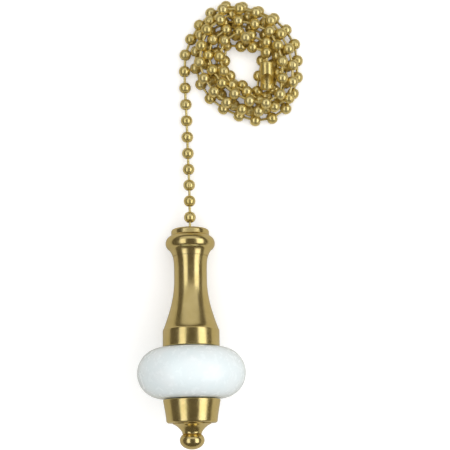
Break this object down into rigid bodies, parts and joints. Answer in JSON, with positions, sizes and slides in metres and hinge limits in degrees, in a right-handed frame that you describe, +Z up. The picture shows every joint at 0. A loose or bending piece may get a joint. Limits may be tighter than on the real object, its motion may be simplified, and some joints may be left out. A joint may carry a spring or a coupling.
{
  "type": "ball-chain pull with turned pendant",
  "caption": "Ball-chain pull: turned brass pendant with a white ceramic ring, straight chain run, flat coil and end coupling.",
  "frame": {"origin": "middle of the pendant's footprint, on the table that it lies on", "axes": "+Y from the pendant's finial towards its chain, +Z up from the table"},
  "size_m": [0.0476, 0.1196, 0.0281],
  "materials": {
    "polished_brass": "polished",
    "chain_brass": "satin",
    "white_glaze": "glossy",
    "plated_steel": "satin",
    "black_rubber": "matte",
    "nylon": "matte"
  },
  "bodies": {
    "chain": {"chain_coil": "chain_brass", "chain_run": "chain_brass", "first_bead": "chain_brass", "last_bead": "chain_brass", "end_pin": "chain_brass"},
    "link": {"swing_pin": "chain_brass"},
    "tail": {"mouth_bead": "chain_brass", "anchor_bead": "chain_brass", "tail_pin": "chain_brass"},
    "pendant": {"top_cap": "polished_brass", "neck_stud": "plated_steel", "spindle": "polished_brass", "threaded_rod": "plated_steel", "upper_gasket": "black_rubber", "ceramic_ring": "white_glaze", "centring_sleeve": "nylon", "lower_gasket": "black_rubber", "seat_washer": "plated_steel", "lock_washer": "plated_steel", "clamp_nut": "plated_steel", "lower_cup": "polished_brass", "finial": "polished_brass"},
    "end_joint": {"end_bead": "chain_brass"},
    "coupling": {"end_coupling": "chain_brass"}
  },
  "joints": [
    {"name": "link_swing", "type": "hinge", "parent": "chain", "child": "link", "pos_m": [0, 0.03135, 0.0053], "axis": [0, 0, 1], "range_deg": [-12, 12]},
    {"name": "pendant_lift", "type": "hinge", "parent": "link", "child": "tail", "pos_m": [0, 0.02695, 0.00593], "axis": [-1, 0, 0], "range_deg": [0, 12]},
    {"name": "pendant_spin", "type": "hinge", "parent": "tail", "child": "pendant", "pos_m": [0, 0.02695, 0.00593], "axis": [0, 0.9761, -0.2175], "continuous": true},
    {"name": "coupling_swing", "type": "hinge", "parent": "chain", "child": "end_joint", "pos_m": [0.0215, 0.07111, 0.00505], "axis": [0, 0, -1], "range_deg": [0, 10]},
    {"name": "coupling_spin", "type": "hinge", "parent": "end_joint", "child": "coupling", "pos_m": [0.0215, 0.07111, 0.00505], "axis": [0, -1, 0], "continuous": true}
  ]
}
